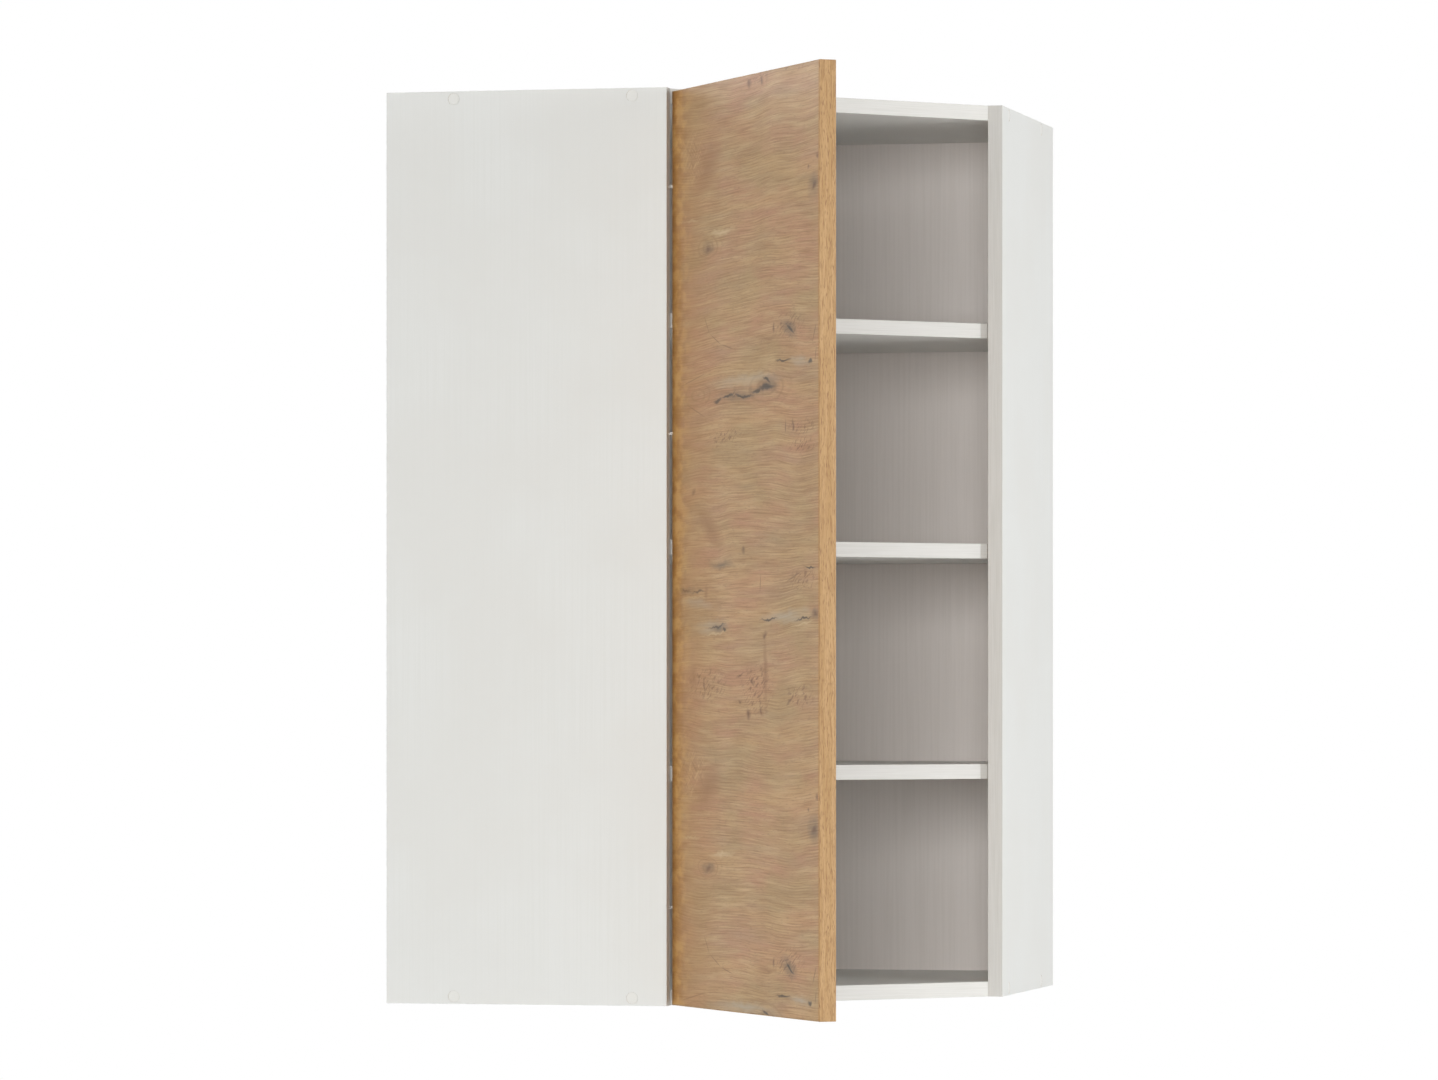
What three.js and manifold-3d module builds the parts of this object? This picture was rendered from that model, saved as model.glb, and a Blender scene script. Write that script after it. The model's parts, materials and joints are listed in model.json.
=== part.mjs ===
// Corner wall cabinet with one diagonal door, in millimetres, +Z up.
//
// The cabinet is drawn from the corner of the room. The two walls are the planes x = 0 and y = 0,
// and the cabinet lies at positive x and negative y. It is symmetric across the diagonal of the
// corner, so most pieces on the right are the left ones reflected: (x, y) becomes (-y, -x).
// The finished group is moved so that its origin is the centre of the square footprint, at the
// underside. The door stands open at rest.

import * as THREE from 'three';
import { mergeVertices } from 'three/addons/utils/BufferGeometryUtils.js';
import Module from 'manifold-3d';

const solids = await Module();
solids.setup();

// ---------------------------------------------------------------- driving sizes

// Carcass
const WALL_RUN = 600;
const SIDE_DEPTH = 302;
const HEIGHT = 954;
const BOARD = 16;

// Rear panels, held in grooves and screwed to a post in the corner
const REAR_SPACE = 9;
const REAR_PANEL = 3;
const GROOVE_DEPTH = 6;
const GROOVE_CLEARANCE = 0.2;
const POST = 28;
const REAR_SCREWS_PER_PANEL = 4;
const REAR_SCREW_END_DISTANCE = 90;
const REAR_SCREW_RADIUS = 1.5;
const REAR_SCREW_LENGTH = 13;
const REAR_SCREW_HEAD_RADIUS = 3;
const REAR_SCREW_HEAD = 1.2;

// Shelves
const SHELF_NAMES = ['lower_shelf', 'middle_shelf', 'upper_shelf'];
const SHELF_PITCH = 236;
const SHELF_SIDE_SETBACK = 2;
const SHELF_FRONT_SETBACK = 7.2;
const SHELF_CLEARANCE = 0.7;
const SHELF_PIN_RADIUS = 2.5;
const SHELF_PIN_LENGTH = 16;
const SHELF_PIN_IN_BOARD = 8;
const SHELF_PIN_FROM_FRONT = 60;
const SHELF_PIN_FROM_REAR = 70;
const SHELF_PIN_SEAT_GAP = 0.1;

// Carcass joints: screws at the system distance from the front edge, dowels between them
const FRONT_ROW = 37;
const SCREW_SPACING = 192;
const DOWEL_FROM_FRONT = 133;
const SCREW_HEAD_RADIUS = 3.5;
const SCREW_CORE_RADIUS = 2.4;
const SCREW_LENGTH = 50;
const DOWEL_RADIUS = 4;
const DOWEL_LENGTH = 30;
const DOWEL_IN_SIDE = 10.5;
const BORE_CLEARANCE = 0.1;
const BORE_END_CLEARANCE = 0.5;
const CUT_BEYOND = 1;
const CAP_RADIUS = 6;
const CAP_THICKNESS = 0.6;
const CAP_CLEARANCE = 0.2;
const CAP_SIDES = 24;

// Door, measured along the slanted front and square to it
const DOOR_BOTTOM = 0.6;
const DOOR_TOP_GAP = 3.4;
const DOOR_THICKNESS = 18;
const DOOR_HINGE_GAP = 1.6;
const DOOR_FREE_GAP = 1.2;
const DOOR_BACK_GAP = 2.6;
const DOOR_OPEN_DEGREES = 100;
const DOOR_BAND = 1;
const DOOR_BAND_GAP = 0.1;
const BUMPER_RADIUS = 4;
const BUMPER_THICKNESS = 2;
const BUMPER_INSET = 9;

// Pivot hinges. A bracket on the side panel reaches a tongue into a slotted socket let into the
// door's edge, and a pin through both is the axis, half-way through the door's thickness.
const HINGE_END_DISTANCE = 102;
const PIVOT_FROM_DOOR_EDGE = 5.5;
const PIN_RADIUS = 2.5;
const PIN_BORE_RADIUS = 2.6;
const TONGUE_THICKNESS = 3;
const TONGUE_WIDTH = 7;
const TONGUE_EYE_RADIUS = 5;
const TONGUE_BEND_RADIUS = 4;
const TONGUE_BEND_STEPS = 6;
const TONGUE_PANEL_GAP = 0.5;
const SLOT_HEIGHT_GAP = 0.3;
const SLOT_EYE_GAP = 0.6;
const SOCKET_BEYOND_PIN = 12;
const SOCKET_FACE_SKIN = 2.5;
const SOCKET_HEIGHT = 32;
const SOCKET_CLEARANCE = 0.2;
const FLANGE_THICKNESS = 1.5;
const FLANGE_REACH = 28;
const FLANGE_SCREW_ALONG = 21;
const FLANGE_SCREW_SPACING = 18;
const DOOR_SCREW_RADIUS = 1.7;
const DOOR_SCREW_LENGTH = 13;
const DOOR_SCREW_HEAD_RADIUS = 3.2;
const DOOR_SCREW_HEAD = 0.6;
const PLATE_THICKNESS = 2.5;
const PLATE_FRONT = 22;
const PLATE_REAR = 52;
const PLATE_HEIGHT = 50;
const PLATE_SCREW_SPACING = 32;
const PLATE_SCREW_RADIUS = 2.5;
const PLATE_SCREW_LENGTH = 13.5;
const PLATE_SCREW_HEAD_RADIUS = 4.5;
const PLATE_SCREW_HEAD = 1.6;

// Hangers in the top rear corners, which hook on a rail on the wall
const HANGER_LENGTH = 50;
const HANGER_WIDTH = 18;
const HANGER_HEIGHT = 60;
const HANGER_SLOT_LENGTH = 36;
const HANGER_SLOT_WIDTH = 6;
const HANGER_SLOT_DROP = 10;
const HANGER_SLOT_HEIGHT = 40;
const HANGER_NOTCH_MARGIN = 4;
const HOOK_THICKNESS = 5;
const HOOK_PLATE = 6;
const HOOK_WALL_CLEARANCE = 2;
const HOOK_LIP = 3;
const HOOK_LIP_DROP = 16;
const HOOK_TAIL = 32;
const HOOK_TAIL_HEIGHT = 30;
const HOOK_SEAT_GAP = 0.3;
const HANGER_SCREW_RADIUS = 2;
const HANGER_SCREW_LENGTH = 26;
const HANGER_SCREW_PROUD = 0.6;
const HANGER_SCREW_FROM_FRONT = 7;
const HANGER_SCREW_SPREAD = 36;
const ADJUSTER_RADIUS = 3;
const ADJUSTER_LENGTH = 10;
const COVER_THICKNESS = 1.5;
const COVER_MARGIN = 2;

// Fineness of round pieces
const ROUND_SIDES = 16;
const EYE_SIDES = 24;

// ---------------------------------------------------------------- places that follow from the sizes

const SQRT2 = Math.SQRT2;
const INSIDE = WALL_RUN - BOARD;
const FRONT_SUM = SIDE_DEPTH + INSIDE;
const FRONT_LENGTH = (INSIDE - SIDE_DEPTH) * SQRT2;
const REAR_INNER = REAR_SPACE + REAR_PANEL;
const MIDDLE_HEIGHT = HEIGHT / 2;
const DOOR_WIDTH = FRONT_LENGTH - DOOR_HINGE_GAP - DOOR_FREE_GAP;
const PIVOT_ALONG = DOOR_HINGE_GAP + PIVOT_FROM_DOOR_EDGE;
const PIVOT_OUT = DOOR_BACK_GAP + DOOR_THICKNESS / 2;
const HANGER_TOP = HEIGHT - BOARD;
const HINGE_HEIGHTS = {
  bottom: HINGE_END_DISTANCE,
  middle: MIDDLE_HEIGHT + SHELF_PITCH / 2,
  top: HEIGHT - HINGE_END_DISTANCE,
};

// ---------------------------------------------------------------- materials

function finish(colour, roughness, metalness) {
  return new THREE.MeshStandardMaterial({ color: colour, roughness, metalness });
}

const WHITE_BOARD = finish(0xe2e2de, 0.45, 0);
const HARDBOARD = finish(0xd8d5cc, 0.6, 0);
const RAW_WOOD = finish(0xc9a877, 0.75, 0);
const OAK_DECOR = finish(0xae8a66, 0.55, 0);
const OAK_BAND = finish(0xc8a276, 0.5, 0);
const WHITE_PLASTIC = finish(0xf0efe9, 0.4, 0);
const CLEAR_PLASTIC = finish(0xdadad4, 0.25, 0);
const NICKEL = finish(0xb9b7b2, 0.3, 1);
const ZINC = finish(0xa9acae, 0.4, 1);

// ---------------------------------------------------------------- shaping

// A closed geometry as a solid that can be cut and joined.
function solidOf(geometry) {
  const bare = geometry.clone();
  bare.deleteAttribute('normal');
  bare.deleteAttribute('uv');
  const merged = mergeVertices(bare);
  const mesh = new solids.Mesh({
    numProp: 3,
    vertProperties: new Float32Array(merged.attributes.position.array),
    triVerts: new Uint32Array(merged.index.array),
  });
  return new solids.Manifold(mesh);
}

function geometryOf(solid) {
  const mesh = solid.getMesh();
  const geometry = new THREE.BufferGeometry();
  geometry.setAttribute('position', new THREE.BufferAttribute(mesh.vertProperties, mesh.numProp));
  geometry.setIndex(new THREE.BufferAttribute(mesh.triVerts, 1));
  return geometry;
}

function joined(pieces) {
  return pieces.reduce((whole, piece) => whole.add(piece));
}

function cut(solid, tools) {
  return tools.reduce((rest, tool) => rest.subtract(tool), solid);
}

// A box between two corners.
function block(from, to) {
  const size = to.map((value, axis) => value - from[axis]);
  const centre = to.map((value, axis) => (value + from[axis]) / 2);
  return solidOf(new THREE.BoxGeometry(...size).translate(...centre));
}

// An outline in plan, drawn up from one height to another.
function prism(outline, bottom, top) {
  const shape = new THREE.Shape(outline.map(([x, y]) => new THREE.Vector2(x, y)));
  const geometry = new THREE.ExtrudeGeometry(shape, { depth: top - bottom, bevelEnabled: false });
  return solidOf(geometry.translate(0, 0, bottom));
}

// A round bar that starts at a point and runs along +X, +Y or +Z.
function bar(radius, length, axis, start, sides = ROUND_SIDES) {
  const geometry = new THREE.CylinderGeometry(radius, radius, length, sides);
  geometry.translate(0, length / 2, 0);
  if (axis === 'x') {
    geometry.rotateZ(-Math.PI / 2);
  }
  if (axis === 'z') {
    geometry.rotateX(Math.PI / 2);
  }
  return solidOf(geometry.translate(...start));
}

// A cutting bar for a blind bore that holds a pin of a given radius. The bore runs from its mouth
// back along the axis, and the pin goes in to the depth.
function boreTool(radius, depth, axis, mouth) {
  const start = mouth.slice();
  start['xyz'.indexOf(axis)] -= depth + BORE_END_CLEARANCE;
  return bar(radius + BORE_CLEARANCE, depth + BORE_END_CLEARANCE + CUT_BEYOND, axis, start);
}

// A cutting bar for a hole right through a thickness of material that starts at a point.
function throughTool(radius, thickness, axis, start, sides) {
  const from = start.slice();
  from['xyz'.indexOf(axis)] -= CUT_BEYOND;
  return bar(radius, thickness + 2 * CUT_BEYOND, axis, from, sides);
}

// A round bar along +Y with a head at its start.
function headed(head, headLength, shank, length, start) {
  const profile = [
    [0, 0],
    [head, 0],
    [head, headLength],
    [shank, headLength],
    [shank, length],
    [0, length],
  ];
  const points = profile.map(([radius, along]) => new THREE.Vector2(radius, along));
  return solidOf(new THREE.LatheGeometry(points, ROUND_SIDES).translate(...start));
}

// The same solid on the other side of the corner's diagonal.
function reflected(solid) {
  const geometry = geometryOf(solid);
  const place = geometry.attributes.position;
  for (let i = 0; i < place.count; i += 1) {
    place.setXY(i, -place.getY(i), -place.getX(i));
  }
  const faces = geometry.index;
  for (let i = 0; i < faces.count; i += 3) {
    const first = faces.getX(i);
    faces.setX(i, faces.getX(i + 1));
    faces.setX(i + 1, first);
  }
  return solidOf(geometry);
}

// The outline of a flat strip bent at the inner points of a path, with round bends.
function bentStrip(path, thickness, bendRadius, steps) {
  const points = path.map(([x, y]) => new THREE.Vector2(x, y));
  const left = [];
  const right = [];
  const side = (direction) => new THREE.Vector2(-direction.y, direction.x);
  const lay = (point, direction) => {
    const offset = side(direction).multiplyScalar(thickness / 2);
    left.push([point.x + offset.x, point.y + offset.y]);
    right.push([point.x - offset.x, point.y - offset.y]);
  };
  for (let i = 0; i < points.length; i += 1) {
    const before = i > 0 ? points[i].clone().sub(points[i - 1]).normalize() : null;
    const after = i < points.length - 1 ? points[i + 1].clone().sub(points[i]).normalize() : null;
    if (!before || !after) {
      lay(points[i], before || after);
      continue;
    }
    const turn = Math.atan2(before.cross(after), before.dot(after));
    const start = points[i].clone().addScaledVector(before, -bendRadius * Math.tan(Math.abs(turn) / 2));
    const centre = start.clone().addScaledVector(side(before), Math.sign(turn) * bendRadius);
    for (let step = 0; step <= steps; step += 1) {
      const angle = (turn * step) / steps;
      const zero = new THREE.Vector2();
      lay(start.clone().rotateAround(centre, angle), before.clone().rotateAround(zero, angle));
    }
  }
  return left.concat(right.reverse());
}

// A point given along the slanted front, from its left end, and out from it towards the room.
function atFront(along, out) {
  return [SIDE_DEPTH + (along + out) / SQRT2, -INSIDE + (along - out) / SQRT2];
}

// ---------------------------------------------------------------- scene graph

const cabinet = new THREE.Group();
const carcass = new THREE.Group();
carcass.position.set(-WALL_RUN / 2, WALL_RUN / 2, 0);
cabinet.add(carcass);

function addPiece(name, solid, material, parent = carcass, place = [0, 0, 0]) {
  const mesh = new THREE.Mesh(geometryOf(solid), material);
  mesh.name = name;
  mesh.position.set(...place);
  parent.add(mesh);
}

// ---------------------------------------------------------------- rows of fasteners

const SHELF_BOTTOMS = SHELF_NAMES.map((_, row) => {
  const fromMiddle = (row - (SHELF_NAMES.length - 1) / 2) * SHELF_PITCH;
  return MIDDLE_HEIGHT + fromMiddle - BOARD / 2;
});
const BOARD_MIDDLES = [BOARD / 2, HEIGHT - BOARD / 2];
const SCREW_PLACES = [SIDE_DEPTH - FRONT_ROW, SIDE_DEPTH - FRONT_ROW - SCREW_SPACING];
const DOWEL_PLACE = SIDE_DEPTH - DOWEL_FROM_FRONT;
const PIN_PLACES = { front: SIDE_DEPTH - SHELF_PIN_FROM_FRONT, rear: SHELF_PIN_FROM_REAR };
const PIN_AXES = SHELF_BOTTOMS.map((bottom) => bottom - SHELF_PIN_RADIUS - SHELF_PIN_SEAT_GAP);
const POST_MIDDLE = -(REAR_INNER + POST / 2);
const PLATE_SCREW_HEIGHTS = [-PLATE_SCREW_SPACING / 2, PLATE_SCREW_SPACING / 2];

const REAR_SCREW_HEIGHTS = Array.from({ length: REAR_SCREWS_PER_PANEL }, (_, row) => {
  const run = HEIGHT - 2 * REAR_SCREW_END_DISTANCE;
  return REAR_SCREW_END_DISTANCE + (run * row) / (REAR_SCREWS_PER_PANEL - 1);
});

// Places of the hanger's own screws, from the rear panel and from the top board.
const HANGER_SCREW_PLACES = [-1, 1].map((end) => [
  REAR_INNER + HANGER_LENGTH - HANGER_SCREW_FROM_FRONT,
  HANGER_TOP - HANGER_HEIGHT / 2 + (end * HANGER_SCREW_SPREAD) / 2,
]);

// ---------------------------------------------------------------- side panels

const GROOVE = [REAR_SPACE - GROOVE_CLEARANCE, REAR_INNER + GROOVE_CLEARANCE];

// The left side panel. Its inner face is the plane y = -INSIDE.
function sidePanel(holdsHinges) {
  const blank = block([0, -WALL_RUN, 0], [SIDE_DEPTH, -INSIDE, HEIGHT]);
  const groove = block(
    [GROOVE[0], -INSIDE - GROOVE_DEPTH, BOARD - GROOVE_DEPTH],
    [GROOVE[1], -INSIDE + CUT_BEYOND, HEIGHT - BOARD + GROOVE_DEPTH],
  );
  const tools = [groove];
  const bore = (radius, depth, x, z) => tools.push(boreTool(radius, depth, 'y', [x, -INSIDE, z]));
  for (const z of BOARD_MIDDLES) {
    for (const x of SCREW_PLACES) {
      const recess = CAP_THICKNESS + CUT_BEYOND;
      const outside = [x, -WALL_RUN - CUT_BEYOND, z];
      tools.push(bar(CAP_RADIUS + CAP_CLEARANCE, recess, 'y', outside, CAP_SIDES));
      tools.push(throughTool(SCREW_HEAD_RADIUS + BORE_CLEARANCE, BOARD, 'y', [x, -WALL_RUN, z]));
    }
    bore(DOWEL_RADIUS, DOWEL_IN_SIDE, DOWEL_PLACE, z);
  }
  for (const z of PIN_AXES) {
    for (const x of Object.values(PIN_PLACES)) {
      bore(SHELF_PIN_RADIUS, SHELF_PIN_IN_BOARD, x, z);
    }
  }
  for (const [x, z] of HANGER_SCREW_PLACES) {
    bore(HANGER_SCREW_RADIUS, HANGER_SCREW_LENGTH - HANGER_WIDTH, x, z);
  }
  if (holdsHinges) {
    for (const height of Object.values(HINGE_HEIGHTS)) {
      for (const z of PLATE_SCREW_HEIGHTS) {
        bore(PLATE_SCREW_RADIUS, PLATE_SCREW_LENGTH - PLATE_THICKNESS, SIDE_DEPTH - FRONT_ROW, height + z);
      }
    }
  }
  return cut(blank, tools);
}

addPiece('left_side_panel', sidePanel(true), WHITE_BOARD);
addPiece('right_side_panel', reflected(sidePanel(false)), WHITE_BOARD);

// ---------------------------------------------------------------- top and bottom boards

// A five-sided board between the side panels, drawn from z = 0, with its glued dowels.
// The groove for the rear panels is in its upper face, or else in its lower one.
function cornerBoard(grooveOnTop) {
  const outline = [[0, 0], [0, -INSIDE], [SIDE_DEPTH, -INSIDE], [INSIDE, -SIDE_DEPTH], [INSIDE, 0]];
  const blank = prism(outline, 0, BOARD);
  const grooveBottom = grooveOnTop ? BOARD - GROOVE_DEPTH : -CUT_BEYOND;
  const grooveTop = grooveOnTop ? BOARD + CUT_BEYOND : GROOVE_DEPTH;
  const grooveStart = [GROOVE[0], -INSIDE - CUT_BEYOND, grooveBottom];
  const tools = [block(grooveStart, [GROOVE[1], -GROOVE[0], grooveTop])];
  for (const x of SCREW_PLACES) {
    const length = SCREW_LENGTH - BOARD + BORE_END_CLEARANCE + CUT_BEYOND;
    const start = [x, -INSIDE - CUT_BEYOND, BOARD / 2];
    tools.push(bar(SCREW_CORE_RADIUS + BORE_CLEARANCE, length, 'y', start));
  }
  const board = cut(blank, tools.concat(tools.map(reflected)));
  const dowelStart = [DOWEL_PLACE, -INSIDE - DOWEL_IN_SIDE, BOARD / 2];
  const dowel = bar(DOWEL_RADIUS, DOWEL_LENGTH, 'y', dowelStart);
  return joined([board, dowel, reflected(dowel)]);
}

addPiece('bottom_panel', cornerBoard(true), WHITE_BOARD);
addPiece('top_panel', cornerBoard(false), WHITE_BOARD, carcass, [0, 0, HEIGHT - BOARD]);

// ---------------------------------------------------------------- rear panels and corner post

// The panel along the left wall, with the screws that hold it to the corner post. Its end in the
// corner is given, so that the other panel can butt on it.
function rearPanel(cornerEnd) {
  const reach = GROOVE_DEPTH - GROOVE_CLEARANCE;
  const lowest = BOARD - reach;
  const highest = HEIGHT - BOARD + reach;
  const blank = block([REAR_SPACE, -INSIDE - reach, lowest], [REAR_INNER, -cornerEnd, highest]);
  const notch = block(
    [REAR_SPACE - CUT_BEYOND, -WALL_RUN, HANGER_TOP - HANGER_HEIGHT - HANGER_NOTCH_MARGIN],
    [REAR_INNER + CUT_BEYOND, -INSIDE + HANGER_WIDTH + HANGER_NOTCH_MARGIN, HEIGHT],
  );
  const screws = REAR_SCREW_HEIGHTS.map((z) => {
    const headStart = [REAR_SPACE - REAR_SCREW_HEAD, POST_MIDDLE, z];
    const head = bar(REAR_SCREW_HEAD_RADIUS, REAR_SCREW_HEAD, 'x', headStart);
    return head.add(bar(REAR_SCREW_RADIUS, REAR_SCREW_LENGTH, 'x', [REAR_SPACE, POST_MIDDLE, z]));
  });
  return joined([blank.subtract(notch), ...screws]);
}

addPiece('rear_panel_left', rearPanel(REAR_SPACE), HARDBOARD);
addPiece('rear_panel_right', reflected(rearPanel(REAR_INNER)), HARDBOARD);

function cornerPost() {
  const near = REAR_INNER;
  const far = REAR_INNER + POST;
  const blank = block([near, -far, BOARD], [far, -near, HEIGHT - BOARD]);
  const screwBores = REAR_SCREW_HEIGHTS.map((z) => {
    const length = REAR_SCREW_LENGTH - REAR_PANEL + BORE_END_CLEARANCE + CUT_BEYOND;
    return bar(REAR_SCREW_RADIUS + BORE_CLEARANCE, length, 'x', [near - CUT_BEYOND, POST_MIDDLE, z]);
  });
  const pinBores = PIN_AXES.map((z) => {
    return boreTool(SHELF_PIN_RADIUS, SHELF_PIN_IN_BOARD, 'x', [far, POST_MIDDLE, z]);
  });
  return cut(blank, [...screwBores, ...screwBores.map(reflected), ...pinBores]);
}

addPiece('rear_corner_post', cornerPost(), RAW_WOOD);

// ---------------------------------------------------------------- carcass screws

// A screw through the left side panel into a board's end, with the cap that covers its head.
function cappedScrew(x, z) {
  const cap = bar(CAP_RADIUS, CAP_THICKNESS, 'y', [x, -WALL_RUN, z], CAP_SIDES);
  const headLength = BOARD - CAP_THICKNESS;
  const length = SCREW_LENGTH - CAP_THICKNESS;
  const start = [x, -WALL_RUN + CAP_THICKNESS, z];
  return cap.add(headed(SCREW_HEAD_RADIUS, headLength, SCREW_CORE_RADIUS, length, start));
}

const SCREW_NAMES = { front: SCREW_PLACES[0], rear: SCREW_PLACES[1] };
const LEVELS = { bottom: BOARD_MIDDLES[0], top: BOARD_MIDDLES[1] };
for (const [level, z] of Object.entries(LEVELS)) {
  for (const [place, x] of Object.entries(SCREW_NAMES)) {
    addPiece(`screw_left_${level}_${place}`, cappedScrew(x, z), WHITE_PLASTIC);
    addPiece(`screw_right_${level}_${place}`, reflected(cappedScrew(x, z)), WHITE_PLASTIC);
  }
}

// ---------------------------------------------------------------- shelves

// A shelf drawn from z = 0. Its front has a short facet at each side panel, and its rear corner is
// cut out round the post.
function shelf() {
  const side = SIDE_DEPTH - SHELF_SIDE_SETBACK;
  const sum = FRONT_SUM - SHELF_FRONT_SETBACK * SQRT2;
  const end = INSIDE - SHELF_CLEARANCE;
  const rear = REAR_INNER + SHELF_CLEARANCE;
  const post = REAR_INNER + POST + SHELF_CLEARANCE;
  const front = [[side, -end], [side, side - sum], [sum - side, -side], [end, -side]];
  const back = [[end, -rear], [post, -rear], [post, -post], [rear, -post], [rear, -end]];
  return prism([...front, ...back], 0, BOARD);
}

SHELF_NAMES.forEach((name, row) => {
  const z = PIN_AXES[row];
  addPiece(name, shelf(), WHITE_BOARD, carcass, [0, 0, SHELF_BOTTOMS[row]]);
  for (const [place, x] of Object.entries(PIN_PLACES)) {
    const pin = bar(SHELF_PIN_RADIUS, SHELF_PIN_LENGTH, 'y', [x, -INSIDE - SHELF_PIN_IN_BOARD, z]);
    addPiece(`${name}_pin_left_${place}`, pin, NICKEL);
    addPiece(`${name}_pin_right_${place}`, reflected(pin), NICKEL);
  }
  const postPinStart = [REAR_INNER + POST - SHELF_PIN_IN_BOARD, POST_MIDDLE, z];
  addPiece(`${name}_pin_corner`, bar(SHELF_PIN_RADIUS, SHELF_PIN_LENGTH, 'x', postPinStart), NICKEL);
});

// ---------------------------------------------------------------- hangers

// The hanger on the left side panel hooks on the left wall. Its slot is open towards that wall.
const SLOT_TOP = HANGER_TOP - HANGER_SLOT_DROP;
const SLOT_BOTTOM = SLOT_TOP - HANGER_SLOT_HEIGHT;
const SLOT_MIDDLE = -INSIDE + HANGER_WIDTH / 2;
const HANGER_FRONT = REAR_INNER + HANGER_LENGTH;
const HOOK_BOTTOM = SLOT_TOP - HOOK_SEAT_GAP - HOOK_TAIL_HEIGHT;
const ADJUSTER_HEIGHT = HOOK_BOTTOM + HOOK_TAIL_HEIGHT / 2;

// The housing, with the two screws that hold it to the side panel.
function hangerHousing() {
  const lowest = HANGER_TOP - HANGER_HEIGHT;
  const blank = block([REAR_INNER, -INSIDE, lowest], [HANGER_FRONT, -INSIDE + HANGER_WIDTH, HANGER_TOP]);
  const slot = block(
    [REAR_INNER - CUT_BEYOND, SLOT_MIDDLE - HANGER_SLOT_WIDTH / 2, SLOT_BOTTOM],
    [REAR_INNER + HANGER_SLOT_LENGTH, SLOT_MIDDLE + HANGER_SLOT_WIDTH / 2, SLOT_TOP],
  );
  const bore = boreTool(ADJUSTER_RADIUS, ADJUSTER_LENGTH, 'x', [HANGER_FRONT, SLOT_MIDDLE, ADJUSTER_HEIGHT]);
  const screws = HANGER_SCREW_PLACES.map(([x, z]) => {
    const start = [x, -INSIDE + HANGER_WIDTH - HANGER_SCREW_LENGTH, z];
    return bar(HANGER_SCREW_RADIUS, HANGER_SCREW_LENGTH + HANGER_SCREW_PROUD, 'y', start);
  });
  return joined([cut(blank, [slot, bore]), ...screws]);
}

// A flat hook seen from the side: its tail lies in the housing and its lip turns down at the wall.
function hangerHook() {
  const top = SLOT_TOP - HOOK_SEAT_GAP;
  const tailStart = REAR_INNER + HANGER_SLOT_LENGTH - HOOK_SEAT_GAP - HOOK_TAIL;
  const lipEnd = HOOK_WALL_CLEARANCE + HOOK_LIP;
  const outline = [
    [HOOK_WALL_CLEARANCE, top - HOOK_LIP_DROP],
    [lipEnd, top - HOOK_LIP_DROP],
    [lipEnd, top - HOOK_PLATE],
    [tailStart, top - HOOK_PLATE],
    [tailStart, HOOK_BOTTOM],
    [tailStart + HOOK_TAIL, HOOK_BOTTOM],
    [tailStart + HOOK_TAIL, top],
    [HOOK_WALL_CLEARANCE, top],
  ];
  const shape = new THREE.Shape(outline.map(([x, z]) => new THREE.Vector2(x, z)));
  const geometry = new THREE.ExtrudeGeometry(shape, { depth: HOOK_THICKNESS, bevelEnabled: false });
  geometry.rotateX(Math.PI / 2);
  return solidOf(geometry.translate(0, SLOT_MIDDLE + HOOK_THICKNESS / 2, 0));
}

function hangerAdjuster() {
  const start = [HANGER_FRONT - ADJUSTER_LENGTH, SLOT_MIDDLE, ADJUSTER_HEIGHT];
  return bar(ADJUSTER_RADIUS, ADJUSTER_LENGTH, 'x', start);
}

function hangerCover() {
  return block(
    [HANGER_FRONT, -INSIDE + COVER_MARGIN, HANGER_TOP - HANGER_HEIGHT + COVER_MARGIN],
    [HANGER_FRONT + COVER_THICKNESS, -INSIDE + HANGER_WIDTH, HANGER_TOP - COVER_MARGIN],
  );
}

const HANGER_PIECES = {
  housing: [hangerHousing(), WHITE_PLASTIC],
  hook: [hangerHook(), ZINC],
  adjusting_screw: [hangerAdjuster(), ZINC],
  cover: [hangerCover(), WHITE_PLASTIC],
};
for (const [piece, [solid, material]] of Object.entries(HANGER_PIECES)) {
  addPiece(`hanger_${piece}_left`, solid, material);
  addPiece(`hanger_${piece}_right`, reflected(solid), material);
}

// ---------------------------------------------------------------- hinge brackets

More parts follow.
